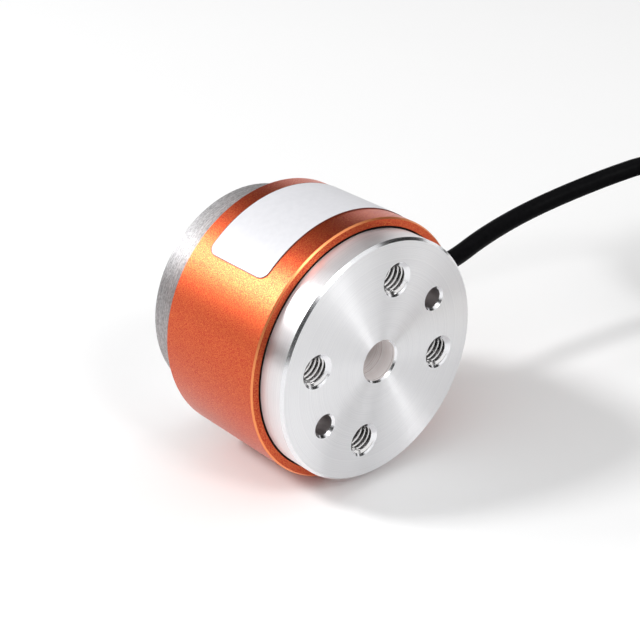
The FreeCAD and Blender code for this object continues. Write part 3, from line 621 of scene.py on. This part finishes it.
class Surface(Nodes):
    """New material with a principled shader."""

    def __init__(self, name):
        self.material = bpy.data.materials.new(name)
        self.material.use_nodes = True
        super().__init__(self.material.node_tree)
        self.shader = self.tree.nodes["Principled BSDF"]

    def set(self, **values):
        for name, value in values.items():
            self.put(self.shader.inputs[name.replace("_", " ")], value)

    def millimetres(self):
        """Place on the object in millimetres."""
        scale = self.add("ShaderNodeVectorMath", operation="SCALE")
        self.link(self.add("ShaderNodeTexCoord").outputs["Object"], scale.inputs[0])
        scale.inputs["Scale"].default_value = 1 / MM
        return scale.outputs[0]

    def lathe_place(self):
        """Radius plus setback in millimetres: the same all round a turned surface."""
        split = self.add("ShaderNodeSeparateXYZ")
        self.link(self.millimetres(), split.inputs[0])
        rise = self.math("SUBTRACT", split.outputs["Z"], AXIS_HEIGHT)
        square = self.math("MULTIPLY", rise, rise)
        total = self.math("MULTIPLY_ADD", split.outputs["X"], split.outputs["X"], square)
        return self.math("ADD", self.math("SQRT", total), split.outputs["Y"])

    def stretched(self, scales):
        """Place in millimetres, with a scale of its own along each axis."""
        return self.vector_math("MULTIPLY", self.millimetres(), scales).outputs["Vector"]

    def noise(self, place, scale, detail, roughness, dimensions="3D"):
        node = self.add("ShaderNodeTexNoise", noise_dimensions=dimensions)
        node.inputs["Scale"].default_value = scale
        node.inputs["Detail"].default_value = detail
        node.inputs["Roughness"].default_value = roughness
        self.link(place, node.inputs["W" if dimensions == "1D" else "Vector"])
        return node.outputs["Fac"]

    def mix(self, factor, first, second):
        """Colour between two; a mix node has its colours at inputs 6 and 7 and at output 2."""
        node = self.add("ShaderNodeMix", data_type="RGBA")
        self.put(node.inputs["Factor"], factor)
        for socket, colour in ((node.inputs[6], first), (node.inputs[7], second)):
            self.put(socket, (*colour, 1.0) if isinstance(colour, tuple) else colour)
        return node.outputs[2]

    def bump(self, height, distance, strength):
        node = self.add("ShaderNodeBump")
        node.inputs["Strength"].default_value = strength
        node.inputs["Distance"].default_value = distance * MM
        self.link(height, node.inputs["Height"])
        self.link(node.outputs[0], self.shader.inputs["Normal"])


def turned_aluminium(name, dark, light, roughness, grain, tear_scale, mottle):
    """Bright turned metal: fine feed rings round the axis, with a gloss stretched across them."""
    band_share = 0.15
    spread = 0.06
    made = Surface(name)
    place = made.lathe_place()
    rings = made.noise(place, scale=7.0, detail=4.0, roughness=0.7, dimensions="1D")
    bands = made.noise(place, scale=0.9, detail=2.0, roughness=0.5, dimensions="1D")
    scuffs = made.noise(made.millimetres(), scale=0.5, detail=4.0, roughness=0.6)
    tears = made.noise(made.stretched(tear_scale), scale=1.0, detail=2.0, roughness=0.6)
    tone = made.math("MULTIPLY_ADD", bands, band_share, made.math("MULTIPLY", rings, 1 - band_share))
    spots = made.remap(tears, (0.2, 0.8), (-mottle, mottle))
    made.set(
        Base_Color=made.mix(made.remap(made.math("ADD", tone, spots), RING_RANGE, WHOLE), dark, light),
        Metallic=1.0,
        Roughness=made.remap(made.math("ADD", tone, scuffs), (0.7, 1.3), (roughness, roughness + spread)),
        Anisotropic=0.95,
        Anisotropic_Rotation=0.25,
    )
    tangent = made.add("ShaderNodeTangent", direction_type="RADIAL", axis="Y")
    made.link(tangent.outputs[0], made.shader.inputs["Tangent"])
    relief = made.math("ADD", rings, made.math("MULTIPLY", tears, grain))
    made.bump(relief, distance=0.014, strength=0.6)
    return made.material


def worked_metal(name, dark, light, roughness, marks, bump, metallic=1.0):
    """Cut metal: one noise, of (scale, detail, roughness), for its colour, its gloss and its relief."""
    made = Surface(name)
    noise = made.noise(made.millimetres(), *marks)
    made.set(
        Base_Color=made.mix(noise, dark, light),
        Metallic=metallic,
        Roughness=made.remap(noise, NOISE_RANGE, roughness),
    )
    made.bump(noise, *bump)
    return made.material


def turned_edge():
    """Chamfers cut with a sharp tool: nearly mirror bright."""
    return worked_metal(
        "turned_edge", (0.76, 0.76, 0.78), (0.90, 0.90, 0.92),
        roughness=(0.14, 0.22), marks=(2.5, 3.0, 0.6), bump=(0.006, 0.4))


def bored_aluminium():
    """Tapped walls: smooth and bright, with fine feed marks."""
    return worked_metal(
        "bored_aluminium", (0.72, 0.71, 0.71), (0.88, 0.87, 0.87),
        roughness=(0.14, 0.20), marks=(1.6, 2.0, 0.5), bump=(0.001, 0.2))


def drilled_aluminium():
    """Dowel holes' walls: drilled and dull, and darker in colour than the other walls."""
    return worked_metal(
        "drilled_aluminium", (0.60, 0.57, 0.57), (0.68, 0.65, 0.65),
        roughness=(0.36, 0.44), marks=(1.2, 2.0, 0.5), bump=(0.001, 0.2))


def anodised_edge_painted_highlight():
    """Sleeve's broken edges: the same dye over a smooth turned cut, with a lighter colour that is a painted
    highlight.
    """
    return worked_metal(
        "anodised_edge_painted_highlight", (0.84, 0.27, 0.10), (0.92, 0.34, 0.13),
        roughness=(0.30, 0.36), marks=(2.0, 2.0, 0.5), bump=(0.002, 0.3), metallic=0.9)


def reamed_aluminium_painted_reflection():
    """Through bore's wall: reamed, with a soft gloss, rings of the reamer and a pinkish tint that is a
    painted reflection.
    """
    made = Surface("reamed_aluminium_painted_reflection")
    rings = made.noise(made.lathe_place(), scale=3.0, detail=3.0, roughness=0.6, dimensions="1D")
    made.set(
        Base_Color=made.mix(made.remap(rings, RING_RANGE, WHOLE), (0.90, 0.83, 0.82), (0.99, 0.97, 0.96)),
        Metallic=0.2,
        Roughness=made.remap(rings, NOISE_RANGE, (0.26, 0.36)),
    )
    made.bump(rings, distance=0.006, strength=0.5)
    return made.material


def orange_anodised():
    """Bead-blasted and dyed anodised aluminium: deep red-orange with fine golden glints."""
    made = Surface("orange_anodised")
    grain = made.noise(made.stretched((1.0, 1.8, 1.0)), scale=4.8, detail=1.5, roughness=0.6)
    cloud = made.noise(made.millimetres(), scale=0.3, detail=2.0, roughness=0.5)
    glint = made.remap(grain, (0.40, 0.64), WHOLE)
    red = made.mix(cloud, (0.48, 0.034, 0.018), (0.53, 0.041, 0.020))
    made.set(
        Base_Color=made.mix(glint, red, (0.70, 0.170, 0.046)),
        Metallic=0.95,
        Roughness=made.remap(glint, WHOLE, (0.37, 0.29)),
        Coat_Weight=0.10,
        Coat_Roughness=0.22,
    )
    made.bump(grain, distance=0.030, strength=0.7)
    return made.material


def plain(name, dark, light, roughness, scale, bump, metallic=0.0, **extra):
    """Material with a mottled colour, a little uneven gloss and a fine relief."""
    mottle_scale = 0.2 * scale
    spread = 0.08
    made = Surface(name)
    place = made.millimetres()
    coarse = made.noise(place, scale=mottle_scale, detail=2.0, roughness=0.5)
    fine = made.noise(place, scale=scale, detail=3.0, roughness=0.6)
    made.set(
        Base_Color=made.mix(made.remap(coarse, NOISE_RANGE, WHOLE), dark, light),
        Metallic=metallic,
        Roughness=made.remap(fine, NOISE_RANGE, (roughness - spread, roughness + spread)),
        **extra,
    )
    made.bump(fine, distance=bump, strength=0.5)
    return made.material


def floor_material():
    """Pale floor that still shows the shadow."""
    made = Surface("floor")
    cloud = made.noise(made.millimetres(), scale=0.02, detail=2.0, roughness=0.5)
    made.set(
        Base_Color=made.mix(cloud, (0.93, 0.93, 0.93), (0.94, 0.94, 0.94)),
        Roughness=0.9,
        Specular_IOR_Level=0.0,
    )
    return made.material


# Plain materials: dark and light colour, roughness, noise scale, relief in millimetres and, for a metal, 1.0
PLAIN_LOOKS = {
    # Near-black painted shade for the faces in the gap between flange and sleeve and inside the sleeve's
    # mouth
    "gap_painted_shade": ((0.004, 0.004, 0.004), (0.007, 0.007, 0.007), 0.6, 4.0, 0.004),
    "seal_rubber": ((0.012, 0.012, 0.013), (0.020, 0.020, 0.021), 0.7, 6.0, 0.01),
    "label_film": ((0.68, 0.68, 0.71), (0.71, 0.71, 0.74), 0.45, 4.0, 0.004),
    # Painted shadow: dark reddish brown along the label's edge
    "label_rim_painted_shadow": ((0.13, 0.045, 0.035), (0.17, 0.06, 0.045), 0.5, 6.0, 0.004),
    "boot_rubber": ((0.012, 0.012, 0.013), (0.022, 0.022, 0.023), 0.55, 5.0, 0.015),
    "spring_steel": ((0.55, 0.55, 0.57), (0.65, 0.65, 0.67), 0.25, 4.0, 0.004, 1.0),
    "screw_steel": ((0.58, 0.58, 0.60), (0.68, 0.68, 0.70), 0.28, 5.0, 0.004, 1.0),
    "spacer_brass": ((0.72, 0.52, 0.24), (0.82, 0.64, 0.32), 0.28, 5.0, 0.004, 1.0),
    "board_laminate": ((0.015, 0.11, 0.04), (0.025, 0.15, 0.06), 0.35, 3.0, 0.01),
    "gauge_film": ((0.50, 0.26, 0.07), (0.62, 0.34, 0.10), 0.35, 4.0, 0.004),
    "lead_copper": ((0.60, 0.28, 0.14), (0.75, 0.38, 0.20), 0.3, 6.0, 0.003, 1.0),
    "resistor_black": ((0.015, 0.015, 0.016), (0.03, 0.03, 0.032), 0.4, 8.0, 0.004),
    "core_red": ((0.42, 0.012, 0.012), (0.50, 0.018, 0.016), 0.42, 6.0, 0.006),
    "core_black": ((0.010, 0.010, 0.011), (0.018, 0.018, 0.019), 0.42, 6.0, 0.006),
    "core_green": ((0.012, 0.22, 0.045), (0.018, 0.27, 0.06), 0.42, 6.0, 0.006),
    "core_white": ((0.74, 0.74, 0.71), (0.80, 0.80, 0.78), 0.42, 6.0, 0.006),
    "core_yellow": ((0.66, 0.42, 0.02), (0.76, 0.50, 0.03), 0.42, 6.0, 0.006),
    "tie_nylon": ((0.014, 0.014, 0.015), (0.024, 0.024, 0.025), 0.4, 5.0, 0.01),
    "shrink_sleeve": ((0.010, 0.010, 0.011), (0.018, 0.018, 0.019), 0.5, 5.0, 0.012),
    "tinned_copper": ((0.60, 0.60, 0.61), (0.74, 0.74, 0.75), 0.3, 8.0, 0.006, 1.0),
}
MATERIALS = {name: plain(name, *look) for name, look in PLAIN_LOOKS.items()}
MATERIALS["cable_jacket"] = plain(
    "cable_jacket", (0.002, 0.002, 0.0025), (0.004, 0.004, 0.0045), 0.42, 5.0, 0.010, Specular_IOR_Level=0.03)
MATERIALS["turned_aluminium"] = turned_aluminium(
    "turned_aluminium", (0.82, 0.82, 0.84), (0.95, 0.95, 0.96),
    roughness=0.36, grain=1.6, tear_scale=(1.1, 7.0, 1.1), mottle=0.0)
# Rear flange's side: rougher, and a darker copy of the turned aluminium, which is painted shade
MATERIALS["rear_aluminium_painted_shade"] = turned_aluminium(
    "rear_aluminium_painted_shade", (0.37, 0.37, 0.375), (0.66, 0.66, 0.67),
    roughness=0.72, grain=5.0, tear_scale=(1.6, 4.2, 1.6), mottle=0.28)
MATERIALS["turned_edge"] = turned_edge()
MATERIALS["bored_aluminium"] = bored_aluminium()
MATERIALS["drilled_aluminium"] = drilled_aluminium()
MATERIALS["reamed_aluminium_painted_reflection"] = reamed_aluminium_painted_reflection()
MATERIALS["orange_anodised"] = orange_anodised()
MATERIALS["anodised_edge_painted_highlight"] = anodised_edge_painted_highlight()

SLOTS = {entry["node"]: entry["material_slot"] for entry in frame["record"]["subparts"]}
for node, shown in frame["nodes"].items():
    shown.data.materials.clear()
    shown.data.materials.append(MATERIALS[SLOTS[node]])

# Camera

camera_data = bpy.data.cameras.new("camera")
camera_data.lens = CAMERA_LENS
camera_data.sensor_width = CAMERA_SENSOR_WIDTH
camera_data.clip_start = CAMERA_CLIP_START * MM
camera = put_in_scene("camera", camera_data)
camera.location = mm(*CAMERA_PLACE)
camera.rotation_euler = Vector(CAMERA_FORWARD).to_track_quat("-Z", "Y").to_euler()
bpy.context.scene.camera = camera

# Cable and flying leads

route = list(CABLE_ROUTE) + [coil_approach()] + coil_points() + list(TAIL_ROUTE)
cable = cord_curve("signal_cable", route, CABLE_R, "cable_jacket")
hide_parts("cable", "cable_coil", "cable_tail")
for node, (start_angle, spread) in LEADS.items():
    points = lead_route(start_angle, spread)
    lead = cord_curve("flying_" + node, points, LEAD_R, SLOTS[node])
    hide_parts(node)

# Measuring body: the turned flanges, the torsion section between them, then the holes


def groove(outer_r, middle):
    """Corners of a seal groove in a turned outline, from the front."""
    front, rear = middle - SEAL_GROOVE_WIDTH / 2, middle + SEAL_GROOVE_WIDTH / 2
    return [(front, outer_r), (front, SEAL_GROOVE_BOTTOM_R), (rear, SEAL_GROOVE_BOTTOM_R), (rear, outer_r)]


def front_flange():
    return lathe("front_flange", [
        (0, 0),
        (0, FACE_RING_R),
        (0, FRONT_FLANGE_R - EDGE_CHAMFER),
        (EDGE_CHAMFER, FRONT_FLANGE_R),
        (GAP_SHADE_FRONT, FRONT_FLANGE_R),
        *groove(FRONT_FLANGE_R, FRONT_SEAL_SETBACK),
        (FRONT_FLANGE_THICKNESS - INNER_EDGE_CHAMFER, FRONT_FLANGE_R),
        (FRONT_FLANGE_THICKNESS, FRONT_FLANGE_R - INNER_EDGE_CHAMFER),
        (FRONT_FLANGE_THICKNESS, 0),
    ])


def rear_flange():
    return lathe("rear_flange", [
        (COLLAR_FRONT, 0),
        (COLLAR_FRONT, COLLAR_R - INNER_EDGE_CHAMFER),
        (COLLAR_FRONT + INNER_EDGE_CHAMFER, COLLAR_R),
        *groove(COLLAR_R, REAR_SEAL_SETBACK),
        (REAR_FLANGE_FRONT, COLLAR_R),
        (REAR_FLANGE_FRONT, REAR_FLANGE_R),
        (LENGTH - EDGE_CHAMFER, REAR_FLANGE_R),
        (LENGTH, REAR_FLANGE_R - EDGE_CHAMFER),
        (LENGTH, FACE_RING_R),
        (LENGTH, 0),
    ])


def dowel_places(setback):
    return [on_axis(PITCH_R, DOWEL_ANGLE + half_turn, setback) for half_turn in (0.0, 180.0)]


def bore():
    """Cutter for the through bore, with a chamfer at each mouth that goes on past the face."""
    depth = BORE_MOUTH_DEPTH
    past_r = BORE_R + 2 * depth
    return drilled("bore", on_axis(0, 0, 0), (0, 1, 0), [
        (-depth, 0),
        (-depth, past_r),
        (depth, BORE_R),
        (LENGTH - depth, BORE_R),
        (LENGTH + depth, past_r),
        (LENGTH + depth, 0),
    ], BORE_STEPS)


def cut_holes(piece):
    """Tapped and dowel holes in both faces and the bore between them, each with its own kind of wall."""
    threads = []
    mouths = []
    dowels = []
    for setback, inward in ((0.0, (0, 1, 0)), (LENGTH, (0, -1, 0))):
        for number in range(4):
            place = on_axis(PITCH_R, PATTERN_ANGLE + 90.0 * number, setback)
            threads.append(tapped("thread", place, inward))
            mouths.append(drilled("mouth", place, inward, TAPPED_MOUTH_PROFILE))
        for place in dowel_places(setback):
            dowels.append(drilled("dowel", place, inward, DOWEL_PROFILE))
    cut(piece, threads, "bored_aluminium")
    cut(piece, mouths, "turned_edge")
    cut(piece, dowels, "drilled_aluminium")
    cut(piece, [bore()], "reamed_aluminium_painted_reflection")


def dress_body(piece):
    """Bright chamfers, near-black painted shade in the gap to the sleeve, and the rear flange's rougher side,
    darker as painted shade.
    """
    numbers = add_materials(piece, "turned_edge", "gap_painted_shade", "rear_aluminium_painted_shade")
    axis = on_axis(0, 0, 0)
    dowels = dowel_places(0.0)
    for face in piece.data.polygons:
        radius, setback = off_line(face, axis)
        inset = min(setback, LENGTH - setback)
        at_front = setback < EDGE_CHAMFER and radius > FRONT_FLANGE_R - EDGE_CHAMFER
        at_rear = setback > LENGTH - EDGE_CHAMFER and radius > REAR_FLANGE_R - EDGE_CHAMFER
        near_dowel = any(off_line(face, line)[0] < NEAR_DOWEL_R for line in dowels)
        at_dowel = near_dowel and FACE_MARGIN < inset < DOWEL_MOUTH_DEPTH - FACE_MARGIN
        in_bore = BORE_R < radius < BORE_MOUTH_R
        at_bore = in_bore and FACE_MARGIN < inset < BORE_MOUTH_DEPTH - FACE_MARGIN
        in_gap = GAP_SHADE_FRONT < setback < FRONT_FLANGE_THICKNESS
        if at_front or at_rear or at_dowel or at_bore:
            face.material_index = numbers["turned_edge"]
        # Painted shade: the flange's side in the gap to the sleeve is made near black
        elif in_gap and radius > SEAL_GROOVE_BOTTOM_R - SURFACE_MARGIN:
            face.material_index = numbers["gap_painted_shade"]
        # The rear flange's side: rougher, and darker as painted shade
        elif setback > REAR_FLANGE_FRONT + FACE_MARGIN and radius > REAR_FLANGE_R - SURFACE_MARGIN:
            face.material_index = numbers["rear_aluminium_painted_shade"]


body = new_piece("turned_body", front_flange(), "turned_aluminium")
join(body, torsion_mesh("torsion_section"))
join(body, rear_flange())
cut_holes(body)
dress_body(body)
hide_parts("measuring_body")

# Sleeve and label


def sleeve_mesh():
    return lathe("anodised_sleeve", [
        (SLEEVE_FRONT, SLEEVE_MOUTH_R),
        (SLEEVE_FRONT, SLEEVE_R - SLEEVE_EDGE),
        (SLEEVE_FRONT + SLEEVE_EDGE, SLEEVE_R),
        (SLEEVE_REAR - SLEEVE_EDGE, SLEEVE_R),
        (SLEEVE_REAR, SLEEVE_R - SLEEVE_EDGE),
        (SLEEVE_REAR, SLEEVE_LIP_R),
        (REAR_FLANGE_FRONT, SLEEVE_LIP_R),
        (REAR_FLANGE_FRONT, SLEEVE_INNER_R),
        (SLEEVE_FRONT + SLEEVE_MOUTH_END, SLEEVE_INNER_R),
        (SLEEVE_FRONT + SLEEVE_MOUTH_DEPTH, SLEEVE_MOUTH_R),
    ])


def exit_hole():
    """Cutter for the cable's way out through the sleeve's wall."""
    turn = math.radians(EXIT_ANGLE)
    place = on_axis(SLEEVE_INNER_R - EXIT_CUT_INSET, EXIT_ANGLE, EXIT_SETBACK)
    outline = [(0, 0), (0, EXIT_HOLE_R), (EXIT_CUT_DEPTH, EXIT_HOLE_R), (EXIT_CUT_DEPTH, 0)]
    return drilled("exit_hole", place, (math.sin(turn), 0.0, math.cos(turn)), outline)


def dress_sleeve(piece):
    """Broken edges lighter as a painted highlight, and near-black painted shade inside the front mouth."""
    numbers = add_materials(piece, "anodised_edge_painted_highlight", "gap_painted_shade")
    axis = on_axis(0, 0, 0)
    for face in piece.data.polygons:
        radius, setback = off_line(face, axis)
        edge = min(setback - SLEEVE_FRONT, SLEEVE_REAR - setback)
        # Painted highlight: the broken edges get a lighter colour
        if radius > SLEEVE_R - SLEEVE_EDGE and FACE_MARGIN < edge < SLEEVE_EDGE:
            face.material_index = numbers["anodised_edge_painted_highlight"]
        # Painted shade: the inside of the sleeve's mouth is made near black
        elif radius < SLEEVE_MOUTH_R + MOUTH_MARGIN and FACE_MARGIN < edge < SLEEVE_MOUTH_DEPTH:
            face.material_index = numbers["gap_painted_shade"]


sleeve = new_piece("anodised_sleeve", sleeve_mesh(), "orange_anodised")
cut(sleeve, [exit_hole()], "orange_anodised")
dress_sleeve(sleeve)
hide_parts("cover_sleeve")

label = new_piece("bare_label", label_mesh("bare_label"), "label_film")
smooth(label.data, LABEL_SHARP_ANGLE)
# The label's rim is a painted shadow
add_materials(label, "label_rim_painted_shadow")
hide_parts("label_plate")

# Floor and light

floor_mesh = bpy.data.meshes.new("floor")
floor_points = [mm(x * FLOOR_REACH, y * FLOOR_REACH, 0) for x, y in CORNER_SIDES]
floor_mesh.from_pydata(floor_points, [], [(0, 1, 2, 3)])
floor_mesh.materials.append(floor_material())
floor = put_in_scene("floor", floor_mesh)


def lamp(name, direction, distance, size, white_share):
    """Round area lamp that gives a white surface facing it a share of full white."""
    data = bpy.data.lights.new(name, "AREA")
    data.shape = "DISK"
    data.size = size
    data.energy = white_share * math.pi * math.pi * distance ** 2
    made = put_in_scene(name, data)
    made.location = Vector(direction).normalized() * distance
    made.rotation_euler = Vector(direction).to_track_quat("Z", "Y").to_euler()


def flag(name, direction, distance, width, height, glow):
    """Studio flag or panel that only shows in glossy reflections, facing the sensor."""
    toward = Vector(direction).normalized()
    turn = toward.to_track_quat("Z", "Y")
    middle = toward * distance + mm(0, 0, AXIS_HEIGHT)
    mesh = bpy.data.meshes.new(name)
    points = []
    for across, up in CORNER_SIDES:
        points.append(middle + turn @ Vector((across * width / 2, up * height / 2, 0)))
    mesh.from_pydata(points, [], [(0, 1, 2, 3)])
    made = Surface(name)
    made.tree.nodes.remove(made.shader)
    emission = made.add("ShaderNodeEmission")
    emission.inputs["Color"].default_value = (glow, glow, glow, 1.0)
    made.link(emission.outputs[0], made.tree.nodes["Material Output"].inputs["Surface"])
    mesh.materials.append(made.material)
    shown = put_in_scene(name, mesh)
    shown.visible_camera = False
    shown.visible_diffuse = False
    shown.visible_shadow = False
    shown.visible_transmission = False
    shown.visible_volume_scatter = False


def studio():
    """World that is white to the camera and in reflections, and gives matt surfaces the ambient light."""
    world = bpy.data.worlds.new("studio")
    bpy.context.scene.world = world
    world.use_nodes = True
    made = Nodes(world.node_tree)
    rays = made.add("ShaderNodeLightPath").outputs
    seen = made.math("MAXIMUM", rays["Is Camera Ray"], rays["Is Glossy Ray"])
    seen = made.math("MAXIMUM", seen, rays["Is Transmission Ray"])
    place = made.add("ShaderNodeTexCoord").outputs["Generated"]
    slope = made.vector_math("DOT_PRODUCT", place, AMBIENT_SLOPE).outputs["Value"]
    ambient = made.math("ADD", slope, AMBIENT_LOW)
    background = made.tree.nodes["Background"]
    background.inputs["Color"].default_value = (1.0, 1.0, 1.0, 1.0)
    made.link(made.remap(seen, WHOLE, (ambient, 1.0)), background.inputs["Strength"])


for row in LAMPS:
    lamp(*row)
for row in FLAGS:
    flag(*row)
studio()

bpy.context.scene.view_settings.view_transform = "Standard"

bpy.context.view_layer.update()
